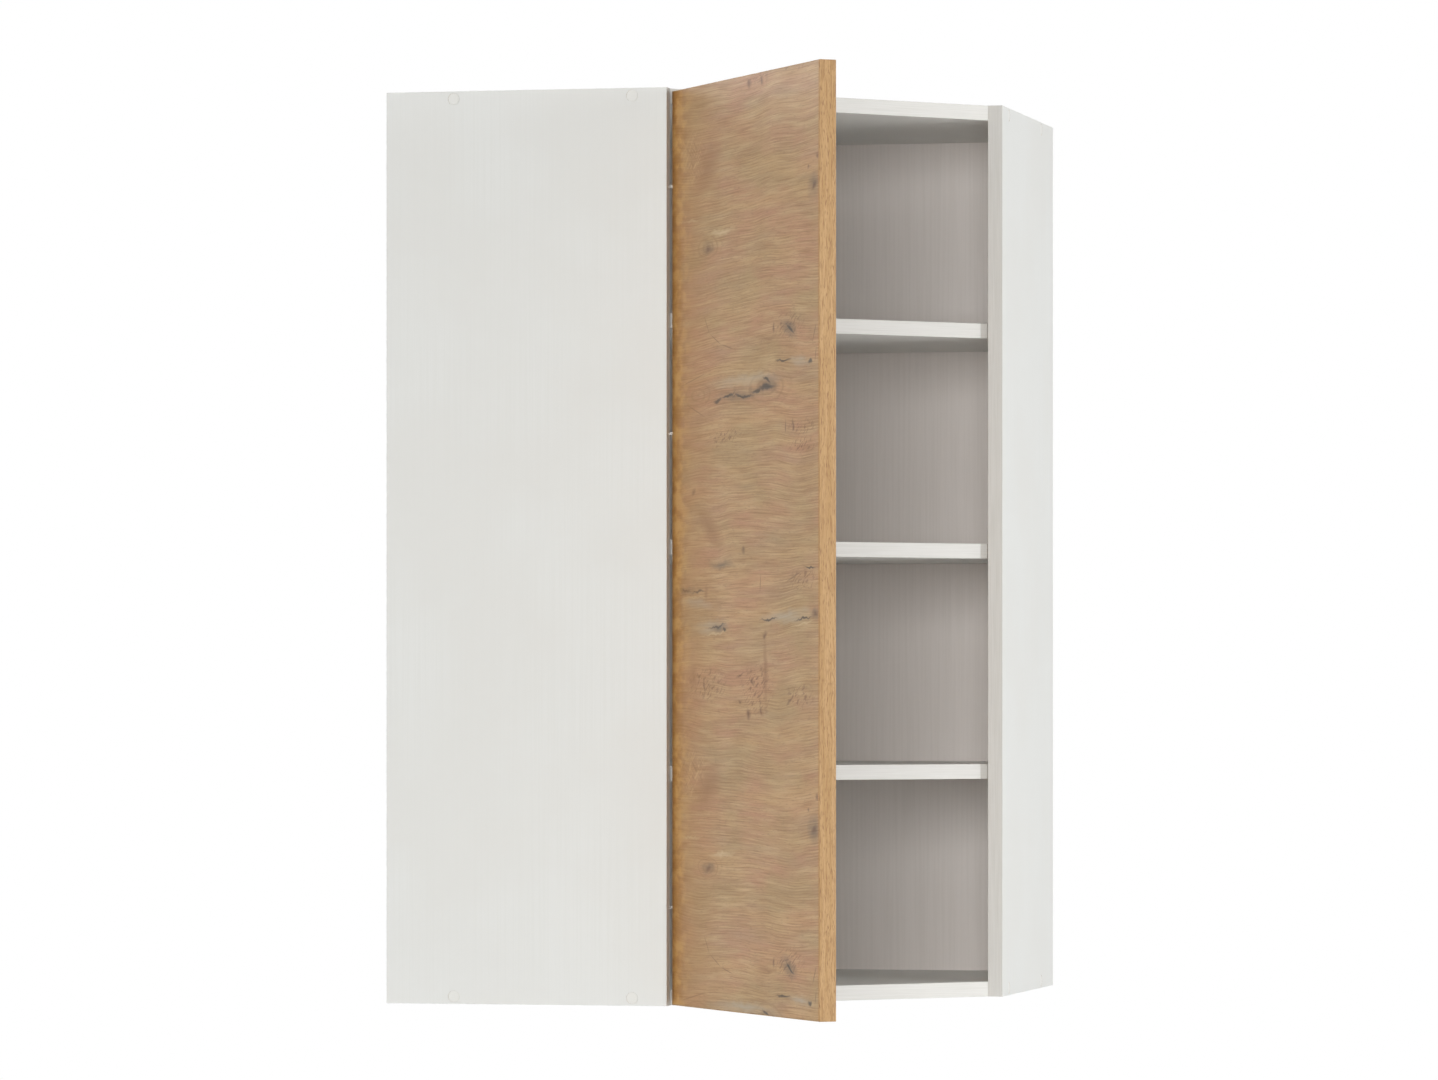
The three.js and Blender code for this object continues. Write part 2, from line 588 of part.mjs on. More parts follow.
// Hinge pieces are drawn round the height z = 0 of their own hinge.
// The bracket's plate lies on the left panel's inner face with its two screws, and its tongue runs
// forward past the panel's corner and turns out to the pin.
function hingeBracket() {
  const pivot = atFront(PIVOT_ALONG, PIVOT_OUT);
  const tongueMiddle = TONGUE_PANEL_GAP + TONGUE_WIDTH / 2;
  const turn = [SIDE_DEPTH + PIVOT_ALONG * SQRT2 - tongueMiddle, -INSIDE + tongueMiddle];
  const path = [[SIDE_DEPTH - PLATE_REAR, turn[1]], turn, pivot];
  const outline = bentStrip(path, TONGUE_WIDTH, TONGUE_BEND_RADIUS, TONGUE_BEND_STEPS);
  const half = TONGUE_THICKNESS / 2;
  const tongue = prism(outline, -half, half);
  const eye = bar(TONGUE_EYE_RADIUS, TONGUE_THICKNESS, 'z', [...pivot, -half], EYE_SIDES);
  const bore = throughTool(PIN_BORE_RADIUS, TONGUE_THICKNESS, 'z', [...pivot, -half], EYE_SIDES);
  const plate = block(
    [SIDE_DEPTH - PLATE_REAR, -INSIDE, -PLATE_HEIGHT / 2],
    [SIDE_DEPTH - PLATE_FRONT, -INSIDE + PLATE_THICKNESS, PLATE_HEIGHT / 2],
  );
  const screws = PLATE_SCREW_HEIGHTS.map((z) => {
    const x = SIDE_DEPTH - FRONT_ROW;
    const shankStart = -INSIDE + PLATE_THICKNESS - PLATE_SCREW_LENGTH;
    const shank = bar(PLATE_SCREW_RADIUS, PLATE_SCREW_LENGTH, 'y', [x, shankStart, z]);
    const headStart = [x, -INSIDE + PLATE_THICKNESS, z];
    return shank.add(bar(PLATE_SCREW_HEAD_RADIUS, PLATE_SCREW_HEAD, 'y', headStart));
  });
  return joined([plate, tongue, eye, ...screws]).subtract(bore);
}

const hingeRows = Object.entries(HINGE_HEIGHTS);
for (const [row, height] of hingeRows) {
  addPiece(`hinge_bracket_${row}`, hingeBracket(), NICKEL, carcass, [0, 0, height]);
}

// ---------------------------------------------------------------- door

// The door's group turns about the hinge pins. In it, +X runs along the door to its free edge and
// +Y points from the outer face to the inner face, so y = DOOR_BACK is the inner face.
const doorGroup = new THREE.Group();
doorGroup.position.set(...atFront(PIVOT_ALONG, PIVOT_OUT), 0);
doorGroup.rotation.z = THREE.MathUtils.degToRad(45 - DOOR_OPEN_DEGREES);
carcass.add(doorGroup);

const DOOR_BACK = DOOR_THICKNESS / 2;
const DOOR_FACE = -DOOR_THICKNESS / 2;
const DOOR_START = -PIVOT_FROM_DOOR_EDGE;
const DOOR_END = DOOR_START + DOOR_WIDTH;
const DOOR_TOP = HEIGHT - DOOR_TOP_GAP;
const DOOR_CORE_INSET = DOOR_BAND + DOOR_BAND_GAP;
const SOCKET_DEEPEST = DOOR_FACE + SOCKET_FACE_SKIN;

function doorBlock(start, end, low, high) {
  return block([start, DOOR_FACE, low], [end, DOOR_BACK, high]);
}

// The pockets for the sockets, which are open at the door's edge and inner face.
const POCKETS = hingeRows.map(([, height]) => {
  return block(
    [DOOR_START - CUT_BEYOND, SOCKET_DEEPEST, height - SOCKET_HEIGHT / 2],
    [SOCKET_BEYOND_PIN, DOOR_BACK + CUT_BEYOND, height + SOCKET_HEIGHT / 2],
  );
});

// The screws that hold a socket, as bars that end at a height over the door's inner face.
function doorScrewBars(radius, low, high) {
  return [-1, 1].map((end) => {
    return bar(radius, high - low, 'y', [FLANGE_SCREW_ALONG, low, (end * FLANGE_SCREW_SPACING) / 2]);
  });
}

const FLANGE_FACE = DOOR_BACK + SOCKET_CLEARANCE + FLANGE_THICKNESS;
const DOOR_SCREW_END = FLANGE_FACE - DOOR_SCREW_LENGTH;

function doorPanel() {
  const blank = doorBlock(
    DOOR_START + DOOR_CORE_INSET,
    DOOR_END - DOOR_CORE_INSET,
    DOOR_BOTTOM + DOOR_CORE_INSET,
    DOOR_TOP - DOOR_CORE_INSET,
  );
  const radius = DOOR_SCREW_RADIUS + BORE_CLEARANCE;
  const bores = doorScrewBars(radius, DOOR_SCREW_END - BORE_END_CLEARANCE, DOOR_BACK + CUT_BEYOND);
  const everyBore = hingeRows.flatMap(([, height]) => bores.map((tool) => tool.translate([0, 0, height])));
  return cut(blank, [...POCKETS, ...everyBore]);
}

addPiece('door_panel', doorPanel(), OAK_DECOR, doorGroup);

// Each band, by where it starts and ends along the door and in height.
const CORE_RUN = [DOOR_START + DOOR_CORE_INSET, DOOR_END - DOOR_CORE_INSET];
const DOOR_BANDS = {
  hinge_side: [DOOR_START, DOOR_START + DOOR_BAND, DOOR_BOTTOM, DOOR_TOP],
  free_side: [DOOR_END - DOOR_BAND, DOOR_END, DOOR_BOTTOM, DOOR_TOP],
  bottom: [...CORE_RUN, DOOR_BOTTOM, DOOR_BOTTOM + DOOR_BAND],
  top: [...CORE_RUN, DOOR_TOP - DOOR_BAND, DOOR_TOP],
};
for (const [edge, run] of Object.entries(DOOR_BANDS)) {
  addPiece(`door_edge_band_${edge}`, cut(doorBlock(...run), POCKETS), OAK_BAND, doorGroup);
}

// Soft stops near the free edge, which meet the boards when the door is shut.
const BUMPER_HEIGHTS = { bottom: DOOR_BOTTOM + BUMPER_INSET, top: DOOR_TOP - BUMPER_INSET };
for (const [place, height] of Object.entries(BUMPER_HEIGHTS)) {
  const start = [DOOR_END - BUMPER_INSET, DOOR_BACK + DOOR_BAND_GAP, height];
  const bumper = bar(BUMPER_RADIUS, BUMPER_THICKNESS, 'y', start);
  addPiece(`door_bumper_${place}`, bumper, CLEAR_PLASTIC, doorGroup);
}

// The socket fills its pocket, with a flange and two screws on the door's inner face. Its slot, open
// at the edge and at the inner face, lets the tongue swing through the door's corner.
function hingeSocket() {
  const half = SOCKET_HEIGHT / 2 - SOCKET_CLEARANCE;
  const body = block(
    [DOOR_START, SOCKET_DEEPEST + SOCKET_CLEARANCE, -half],
    [SOCKET_BEYOND_PIN - SOCKET_CLEARANCE, FLANGE_FACE, half],
  );
  const flange = block([DOOR_START, DOOR_BACK + SOCKET_CLEARANCE, -half], [FLANGE_REACH, FLANGE_FACE, half]);
  const slotSide = TONGUE_EYE_RADIUS + SLOT_EYE_GAP;
  const slotHalf = TONGUE_THICKNESS / 2 + SLOT_HEIGHT_GAP;
  const slot = block(
    [DOOR_START - CUT_BEYOND, -slotSide, -slotHalf],
    [slotSide, FLANGE_FACE + CUT_BEYOND, slotHalf],
  );
  const bore = throughTool(PIN_BORE_RADIUS, 2 * half, 'z', [0, 0, -half], EYE_SIDES);
  const shanks = doorScrewBars(DOOR_SCREW_RADIUS, DOOR_SCREW_END, FLANGE_FACE);
  const heads = doorScrewBars(DOOR_SCREW_HEAD_RADIUS, FLANGE_FACE, FLANGE_FACE + DOOR_SCREW_HEAD);
  return joined([cut(body.add(flange), [slot, bore]), ...shanks, ...heads]);
}

const PIN_LENGTH = SOCKET_HEIGHT - 2 * SOCKET_CLEARANCE;

for (const [row, height] of hingeRows) {
  const pin = bar(PIN_RADIUS, PIN_LENGTH, 'z', [0, 0, -PIN_LENGTH / 2], EYE_SIDES);
  addPiece(`hinge_socket_${row}`, hingeSocket(), ZINC, doorGroup, [0, 0, height]);
  addPiece(`hinge_pin_${row}`, pin, NICKEL, doorGroup, [0, 0, height]);
}

export default cabinet;
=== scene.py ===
import json
import math

import bmesh
import bpy
from mathutils import Matrix, Vector


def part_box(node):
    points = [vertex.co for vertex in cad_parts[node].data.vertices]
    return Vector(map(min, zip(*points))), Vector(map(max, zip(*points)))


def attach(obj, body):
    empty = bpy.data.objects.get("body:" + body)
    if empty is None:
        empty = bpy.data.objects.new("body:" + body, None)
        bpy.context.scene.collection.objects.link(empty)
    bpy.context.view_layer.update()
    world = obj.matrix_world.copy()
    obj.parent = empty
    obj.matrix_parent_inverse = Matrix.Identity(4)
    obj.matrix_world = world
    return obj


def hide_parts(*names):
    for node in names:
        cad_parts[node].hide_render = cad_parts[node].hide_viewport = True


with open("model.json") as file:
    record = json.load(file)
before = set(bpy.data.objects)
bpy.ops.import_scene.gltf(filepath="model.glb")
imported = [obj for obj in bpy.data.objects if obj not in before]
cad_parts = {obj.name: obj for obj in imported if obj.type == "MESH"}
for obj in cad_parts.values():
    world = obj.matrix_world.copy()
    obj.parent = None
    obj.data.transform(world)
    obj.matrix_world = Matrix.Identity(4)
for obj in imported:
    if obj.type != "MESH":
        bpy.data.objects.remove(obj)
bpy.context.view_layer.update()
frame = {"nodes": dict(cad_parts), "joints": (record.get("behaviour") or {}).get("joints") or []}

# ---------------------------------------------------------------- camera
# A long lens about seven and a half metres away, level and a little below the middle of the
# cabinet. Its upward shift keeps the upright edges parallel.

CAMERA_PLACE = (1.6748, -7.2713, 0.3267)
CAMERA_TURN = math.radians(13.06)
LEVEL_GAZE = math.radians(90)
LENS_MM = 172.9
FILM_WIDTH_MM = 36
LENS_SHIFT = 0.1053
FARTHEST_SEEN = 60

shot = bpy.data.cameras.new("camera")
shot.sensor_width = FILM_WIDTH_MM
shot.lens = LENS_MM
shot.shift_y = LENS_SHIFT
shot.clip_end = FARTHEST_SEEN
camera = bpy.data.objects.new("camera", shot)
camera.location = CAMERA_PLACE
camera.rotation_euler = (LEVEL_GAZE, 0, CAMERA_TURN)
bpy.context.scene.collection.objects.link(camera)
bpy.context.scene.camera = camera

# ---------------------------------------------------------------- room
# The cabinet hangs over a plain pale floor, which lies far below it. Soft lamps stand in front, at
# both sides, behind and above, and a weak one below. The surround is seen as white, also in metal.

MM = 0.001
FLOOR_DROP = 1.45
FLOOR_RADIUS = 14
FLOOR_CORNERS = 96
FLOOR_GLOW = 0.6
FLOOR_TONE = 0.8
BLOTCH = 60
SURROUND_LIGHT = 0.15
SURROUND_SEEN = 1.0
WHITE = (1, 1, 1, 1)
CABINET_MIDDLE = (0.1, 0, 0.48)
# Where each lamp stands and the length of its side, in metres, and its watts. The last two light
# what the camera doesn't see: the back, the top and the floor.
LAMPS = {
    "front_lamp": ((0.95, -5.1, 0.9), 1.4, 101),
    "right_lamp": ((4.4, -1.2, 0.6), 2.2, 110),
    "left_lamp": ((-3.6, -3.2, 0.6), 2.2, 49),
    "low_lamp": ((0.8, -3.6, -0.9), 1.6, 3),
    "back_lamp": ((-2.9, 3.3, 1.2), 2.2, 120),
    "top_lamp": ((0.1, 0.6, 6.0), 2.4, 170),
}

scene = bpy.context.scene
scene.view_settings.view_transform = "Standard"


def colour(hex_code):
    """An sRGB hex colour as the linear colour that a shader wants."""
    parts = [int(hex_code[i : i + 2], 16) / 255 for i in (1, 3, 5)]
    return [p / 12.92 if p <= 0.04045 else ((p + 0.055) / 1.055) ** 2.4 for p in parts] + [1]


def add(tree, kind, inputs=None, **settings):
    """Adds a node. Inputs are named or numbered, and each is a value or another node's output."""
    made = tree.nodes.new(kind)
    for name, value in settings.items():
        setattr(made, name, value)
    for name, value in (inputs or {}).items():
        if isinstance(value, bpy.types.NodeSocket):
            tree.links.new(value, made.inputs[name])
        else:
            made.inputs[name].default_value = value
    return made


def new_material(name, roughness):
    """An empty material with its shader, as (material, tree, shader, place on the object)."""
    material = bpy.data.materials.new(name)
    material.use_nodes = True
    tree = material.node_tree
    tree.nodes.clear()
    shader = add(tree, "ShaderNodeBsdfPrincipled", {"Roughness": roughness, "IOR": 1.5})
    add(tree, "ShaderNodeOutputMaterial", {"Surface": shader.outputs[0]})
    return material, tree, shader, add(tree, "ShaderNodeTexCoord").outputs["Object"]


def drawn_out(tree, place, sizes, detail=3.0):
    """Noise whose blots have a size in mm along X, Y and Z."""
    per_metre = [1 / (size * MM) for size in sizes]
    scaled = add(tree, "ShaderNodeMapping", {"Vector": place, "Scale": per_metre})
    noise = add(tree, "ShaderNodeTexNoise", {"Vector": scaled.outputs[0], "Scale": 1.0, "Detail": detail})
    return noise.outputs[0]


def stain(tree, body, shade, pattern, low, high, strength, where=1.0):
    """Lays a shade over the body as a pattern goes from low to high, up to a strength times where."""
    amount = add(tree, "ShaderNodeMapRange", {"Value": pattern, "From Min": low, "From Max": high,
                                              "To Max": strength})
    amount = add(tree, "ShaderNodeMath", {0: amount.outputs[0], 1: where}, operation="MULTIPLY")
    laid = add(tree, "ShaderNodeMix", {0: amount.outputs[0], 6: body, 7: colour(shade)}, data_type="RGBA")
    return laid.outputs[2]


def new_piece(name, shape, material):
    """A shape made into an object at the origin, with its material."""
    mesh = bpy.data.meshes.new(name)
    shape.to_mesh(mesh)
    shape.free()
    # A copy of a CAD node brings normals that no longer fit it.
    if "custom_normal" in mesh.attributes:
        mesh.attributes.remove(mesh.attributes["custom_normal"])
    mesh.shade_flat()
    mesh.materials.append(material)
    piece = bpy.data.objects.new(name, mesh)
    scene.collection.objects.link(piece)
    return piece


def seen_directly(tree, otherwise, seen):
    """One value for what the camera, gloss or clear material looks at, and another for its light."""
    rays = add(tree, "ShaderNodeLightPath").outputs
    looks = add(tree, "ShaderNodeMath", {0: rays["Is Camera Ray"], 1: rays["Is Glossy Ray"]},
                operation="MAXIMUM")
    looks = add(tree, "ShaderNodeMath", {0: looks.outputs[0], 1: rays["Is Transmission Ray"]},
                operation="MAXIMUM")
    chosen = {"Value": looks.outputs[0], "To Min": otherwise, "To Max": seen}
    return add(tree, "ShaderNodeMapRange", chosen).outputs[0]


floor_shape = bmesh.new()
bmesh.ops.create_circle(floor_shape, cap_ends=True, segments=FLOOR_CORNERS, radius=FLOOR_RADIUS)
bmesh.ops.translate(floor_shape, verts=floor_shape.verts, vec=(0, 0, -FLOOR_DROP))
# Matt floor paint, with the faint blotches that a roller leaves. What looks straight at it sees it
# glow a little, so that it stays pale far from the lamps.
floor_paint, tree, shader, place = new_material("matt_pale_floor_paint", 0.9)
blotch = drawn_out(tree, place, (BLOTCH, BLOTCH, BLOTCH))
tone = stain(tree, colour("#f1f1f0"), "#efefee", blotch, 0.4, 0.6, 1.0)
tree.links.new(tone, shader.inputs["Base Color"])
seen = seen_directly(tree, 0.0, FLOOR_GLOW)
glow = add(tree, "ShaderNodeEmission", {"Color": WHITE, "Strength": FLOOR_TONE})
paled = add(tree, "ShaderNodeMixShader", {0: seen, 1: shader.outputs[0], 2: glow.outputs[0]})
tree.links.new(paled.outputs[0], tree.nodes["Material Output"].inputs["Surface"])
new_piece("floor", floor_shape, floor_paint)

# The surround lights the cabinet weakly, but is seen as white.
surround = bpy.data.worlds.new("surround")
scene.world = surround
surround.use_nodes = True
tree = surround.node_tree
tree.nodes.clear()
level = seen_directly(tree, SURROUND_LIGHT, SURROUND_SEEN)
background = add(tree, "ShaderNodeBackground", {"Color": WHITE, "Strength": level})
add(tree, "ShaderNodeOutputWorld", {"Surface": background.outputs[0]})

# Square soft lamps, turned to the middle of the cabinet.
for name, (stand, side, watts) in LAMPS.items():
    lamp = bpy.data.lights.new(name, "AREA")
    lamp.size = side
    lamp.energy = watts
    holder = bpy.data.objects.new(name, lamp)
    holder.location = stand
    gaze = Vector(CABINET_MIDDLE) - Vector(stand)
    holder.rotation_euler = gaze.to_track_quat("-Z", "Y").to_euler()
    scene.collection.objects.link(holder)

# ---------------------------------------------------------------- side panels
# Two uprights of 16 mm chipboard, faced with white melamine film that is pressed with a faint
# upright grain. The front edge of each has a glued band of 0.8 mm white plastic, scraped round at
# its corners. The other edges are left as sawn chips.

BAND = 0.8 * MM
BAND_ROUNDING = 0.45 * MM
ROUND_STEPS = 3
SAME_PLACE = 0.005 * MM
NEARLY_FLAT = math.radians(0.5)
# Sizes of the patterns, in mm. The pearl texture and the dust are finer on the real boards.
FILM_GRAIN, FILM_GRAIN_RUN, FILM_CLOUD, PEARL = 2, 240, 150, 1.2
CHIP, DUST = 2.2, 0.8
PEEL, DRAG, DRAG_RUN = 1, 0.7, 60
X, Y, Z = 0, 1, 2
TO_LEFT, TO_RIGHT = Vector((-1, 0)), Vector((1, 0))
TO_FRONT, TO_WALL = Vector((0, -1)), Vector((0, 1))


def relief(tree, shader, height, depth):
    """Presses a pattern into the surface, to a depth in mm."""
    bump = add(tree, "ShaderNodeBump", {"Strength": 1.0, "Distance": depth * MM, "Height": height})
    tree.links.new(bump.outputs[0], shader.inputs["Normal"])


def board_material(name, thin_axis, run_axis):
    """White faced chipboard: film on the faces across the thin axis, its grain along the run axis."""
    material, tree, shader, place = new_material(name, 0.45)
    # Film: grain and cloudiness, both faint, and a pearl texture.
    sizes = [FILM_GRAIN] * 3
    sizes[run_axis] = FILM_GRAIN_RUN
    streak = drawn_out(tree, place, sizes)
    film = stain(tree, colour("#e3e4e1"), "#dfe0dc", streak, 0.42, 0.62, 0.45)
    cloud = drawn_out(tree, place, [FILM_CLOUD] * 3)
    film = stain(tree, film, "#e0e0dc", cloud, 0.4, 0.6, 0.7)
    # Chips: yellow to brown flakes, with dark dust between them.
    flake = add(tree, "ShaderNodeTexVoronoi", {"Vector": place, "Scale": 1 / (CHIP * MM)})
    flake = add(tree, "ShaderNodeSeparateColor", {0: flake.outputs["Color"]}).outputs[0]
    chips = stain(tree, colour("#8e6d47"), "#cdb083", flake, 0.0, 1.0, 1.0)
    dust = drawn_out(tree, place, [DUST] * 3)
    chips = stain(tree, chips, "#6f5437", dust, 0.52, 0.68, 0.7)
    normal = add(tree, "ShaderNodeTexCoord").outputs["Normal"]
    normal = add(tree, "ShaderNodeSeparateXYZ", {0: normal}).outputs[thin_axis]
    faced = add(tree, "ShaderNodeMath", {0: normal}, operation="ABSOLUTE").outputs[0]
    faced = add(tree, "ShaderNodeMath", {0: faced, 1: 0.5}, operation="GREATER_THAN").outputs[0]
    both = add(tree, "ShaderNodeMix", {0: faced, 6: chips, 7: film}, data_type="RGBA").outputs[2]
    tree.links.new(both, shader.inputs["Base Color"])
    pearl = drawn_out(tree, place, [PEARL] * 3, detail=2.0)
    relief(tree, shader, pearl, 0.006)
    rough = add(tree, "ShaderNodeMapRange", {"Value": pearl, "To Min": 0.38, "To Max": 0.52})
    tree.links.new(rough.outputs[0], shader.inputs["Roughness"])
    return material


def merged(node):
    """A copy of a CAD node's shape, with its loose triangles joined into flat faces."""
    shape = bmesh.new()
    shape.from_mesh(frame["nodes"][node].data)
    bmesh.ops.remove_doubles(shape, verts=shape.verts, dist=SAME_PLACE)
    bmesh.ops.dissolve_limit(shape, angle_limit=NEARLY_FLAT, verts=shape.verts, edges=shape.edges)
    bmesh.ops.recalc_face_normals(shape, faces=shape.faces)
    return shape


def fitted(name, shape, material, body, node=None):
    """Makes a shape into a piece that rides on a body, in place of a CAD node if one is named."""
    piece = new_piece(name, shape, material)
    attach(piece, body)
    if node:
        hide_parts(node)
    return piece


def edge_band_material(name, light, dark, drag_mm):
    """Extruded white ABS: orange peel, and drag lines along the strip, both faint."""
    material, tree, shader, place = new_material(name, 0.42)
    drag = drawn_out(tree, place, drag_mm)
    tone = stain(tree, colour(light), dark, drag, 0.4, 0.65, 1.0)
    tree.links.new(tone, shader.inputs["Base Color"])
    relief(tree, shader, drawn_out(tree, place, [PEEL] * 3), 0.006)
    return material


def set_back(point, first, second):
    """A corner in plan moved in from two sides, each given by its outward direction and a distance."""
    sides = Matrix((first[0], second[0]))
    reach = Vector([point.dot(outward) - distance for outward, distance in (first, second)])
    return sides.inverted() @ reach


def band_strip(name, material, ends, ends_behind, low, high, upright):
    """A band between two front corners in plan. It is scraped round along its two long edges."""
    shape = bmesh.new()
    plan = [*ends, *reversed(ends_behind)]
    base = shape.faces.new([shape.verts.new((*point, low)) for point in plan])
    drawn = bmesh.ops.extrude_face_region(shape, geom=[base])["geom"]
    tops = [part for part in drawn if isinstance(part, bmesh.types.BMVert)]
    bmesh.ops.translate(shape, verts=tops, vec=(0, 0, high - low))
    bmesh.ops.recalc_face_normals(shape, faces=shape.faces)
    outward = (ends[1] - ends[0]).normalized()
    outward = Vector((outward.y, -outward.x))
    front = {v for v in shape.verts if (v.co.xy - ends[0]).dot(outward) > -SAME_PLACE}
    long_edges = [
        edge for edge in shape.edges
        if front.issuperset(edge.verts) and (edge.verts[0].co.z != edge.verts[1].co.z) == upright
    ]
    bmesh.ops.bevel(shape, geom=long_edges, offset=BAND_ROUNDING, segments=ROUND_STEPS, profile=0.5,
                    affect="EDGES", material=-1)
    fitted(name, shape, material, "carcass")


def banded_board(node, board_finish, band_finish, front, side_before, side_after, upright=False):
    """Replaces a board by one that is cut back along its front, with a band on each stretch of it.

    The front is a row of corners in plan, from left to right, and the sides are the outward
    directions of the board's edges before and after it."""
    low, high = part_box(node)[0].z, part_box(node)[1].z
    stretches = list(zip(front, front[1:]))
    runs = [(last - first).normalized() for first, last in stretches]
    edges = [(side_before, 0)]
    edges += [(Vector((run.y, -run.x)), BAND) for run in runs]
    edges += [(side_after, 0)]
    behind = [set_back(point, edges[i], edges[i + 1]) for i, point in enumerate(front)]
    board = merged(node)
    for vertex in board.verts:
        for point, moved in zip(front, behind):
            if (vertex.co.xy - point).length < SAME_PLACE:
                vertex.co.xy = moved
    fitted(f"{node}_board", board, board_finish, "carcass", node)
    for i, ends in enumerate(stretches):
        name = f"{node}_band" if len(stretches) == 1 else f"{node}_band_{i + 1}"
        band_strip(name, band_finish, ends, (behind[i], behind[i + 1]), low, high, upright)


left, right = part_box("left_side_panel"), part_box("right_side_panel")
left_front = [Vector((left[1].x, left[0].y)), Vector((left[1].x, left[1].y))]
right_front = [Vector((right[0].x, right[0].y)), Vector((right[1].x, right[0].y))]
upright_drag, level_drag = (DRAG, DRAG, DRAG_RUN), (DRAG_RUN, DRAG_RUN, DRAG)
upright_band = edge_band_material("white_abs_edge_band_upright", "#cfceca", "#c7c6c1", upright_drag)
film_and_chips = board_material("melamine_faced_chipboard_left", Y, Z)
banded_board("left_side_panel", film_and_chips, upright_band, left_front, TO_FRONT, TO_WALL, True)
film_and_chips = board_material("melamine_faced_chipboard_right", X, Z)
banded_board("right_side_panel", film_and_chips, upright_band, right_front, TO_LEFT, TO_RIGHT, True)

# ---------------------------------------------------------------- top, bottom and shelves
# The same faced chipboard, laid flat. The top and bottom boards are screwed between the side
# panels, and the shelves lie loose on their pins. A shelf stands back a little from the front, and
# has a short stretch of front beside each side panel.

FRONT_STEP = 12 * MM

film_and_chips = board_material("melamine_faced_chipboard_level", Z, X)
level_band = edge_band_material("white_abs_edge_band_level", "#cfceca", "#c7c6c1", level_drag)
# The shelves' band is the same white ABS in a darker tone: painted shade on their fronts, which stand
# back between the side panels.
shaded_shelf_band = edge_band_material("white_abs_shelf_band_painted_shade", "#c6c5c1", "#bebdb8", level_drag)
for node in ["bottom_panel", "top_panel", "lower_shelf", "middle_shelf", "upper_shelf"]:
    corners = frame["nodes"][node].data.vertices
    plan = {(round(corner.co.x, 5), round(corner.co.y, 5)) for corner in corners}
    foremost = max(x - y for x, y in plan)
    front = sorted(((x, y) for x, y in plan if foremost - (x - y) < FRONT_STEP), key=sum)
    front = [Vector(point) for point in front]
    band_finish = shaded_shelf_band if "shelf" in node else level_band
    banded_board(node, film_and_chips, band_finish, front, TO_FRONT, TO_RIGHT)

# ---------------------------------------------------------------- rear panels
# 3 mm hardboard in grooves of the side panels, top and bottom. The face towards the room is
# lacquered white with a roller, which leaves upright streaks; the back is bare brown fibre.

# In mm. The fibres are finer on the real back.
ROLLER_STREAK, ROLLER_RUN = 3, 160
FIBRE, PALE_PATCH = 1.5, 40
TO_ROOM = (1, -1, 0)

hardboard, tree, shader, place = new_material("lacquered_hardboard", 0.5)
# Faint roller streaks in the lacquer, and paper-like fibres and paler patches on the back.
streak = drawn_out(tree, place, (ROLLER_STREAK, ROLLER_STREAK, ROLLER_RUN), detail=4.0)
lacquer = stain(tree, colour("#f1ebe7"), "#e7e1dc", streak, 0.42, 0.62, 0.4)
fibre = drawn_out(tree, place, [FIBRE] * 3)
bare = stain(tree, colour("#8d6b4a"), "#6e5137", fibre, 0.38, 0.62, 1.0)
bare = stain(tree, bare, "#a07d58", drawn_out(tree, place, [PALE_PATCH] * 3), 0.35, 0.75, 0.4)
normal = add(tree, "ShaderNodeTexCoord").outputs["Normal"]
facing = add(tree, "ShaderNodeVectorMath", {0: normal, 1: TO_ROOM}, operation="DOT_PRODUCT")
facing = facing.outputs["Value"]
lacquered = add(tree, "ShaderNodeMath", {0: facing, 1: 0.5}, operation="GREATER_THAN").outputs[0]
both = add(tree, "ShaderNodeMix", {0: lacquered, 6: bare, 7: lacquer}, data_type="RGBA").outputs[2]
tree.links.new(both, shader.inputs["Base Color"])
relief(tree, shader, streak, 0.02)


def paint(nodes, material):
    """Gives CAD nodes a material."""
    for name in nodes:
        for slot in frame["nodes"][name].material_slots:
            slot.material = material


paint(["rear_panel_left", "rear_panel_right"], hardboard)

# ---------------------------------------------------------------- corner post
# A planed length of pine, which stands in the corner between the top and bottom boards. The rear
# panels are screwed to it.

# In mm. The grain is finer on real pine.
RING, RING_RUN = 4, 260
GRAIN, GRAIN_RUN = 0.8, 30

# Pine: soft yellow early wood with darker rings, and fine grain, both drawn out along the post.
pine, tree, shader, place = new_material("planed_pine", 0.65)
ring = drawn_out(tree, place, (RING, RING, RING_RUN), detail=4.0)
wood = stain(tree, colour("#dfc294"), "#b5864f", ring, 0.5, 0.66, 0.8)
fine = drawn_out(tree, place, (GRAIN, GRAIN, GRAIN_RUN))
wood = stain(tree, wood, "#c99f68", fine, 0.5, 0.7, 0.6)
tree.links.new(wood, shader.inputs["Base Color"])
relief(tree, shader, fine, 0.03)
paint(["rear_corner_post"], pine)

# ---------------------------------------------------------------- screw caps and hangers' housings
# Moulded white polypropylene: the caps over the carcass screws, and the hangers' housings and
# covers. The mould leaves a fine spark-eroded grain, and the edges are broken by 0.2 mm.

PLASTIC_EDGE = 0.2 * MM
SHARP = math.radians(35)
# In mm, coarser than a real mould's 0.1 mm, so that it shows.
SPARK_GRAIN = 0.5

plastic, tree, shader, place = new_material("moulded_white_polypropylene", 0.4)
spark = drawn_out(tree, place, [SPARK_GRAIN] * 3)
tone = stain(tree, colour("#e8e8e4"), "#e1e1dc", spark, 0.4, 0.6, 1.0)
tree.links.new(tone, shader.inputs["Base Color"])
relief(tree, shader, spark, 0.01)


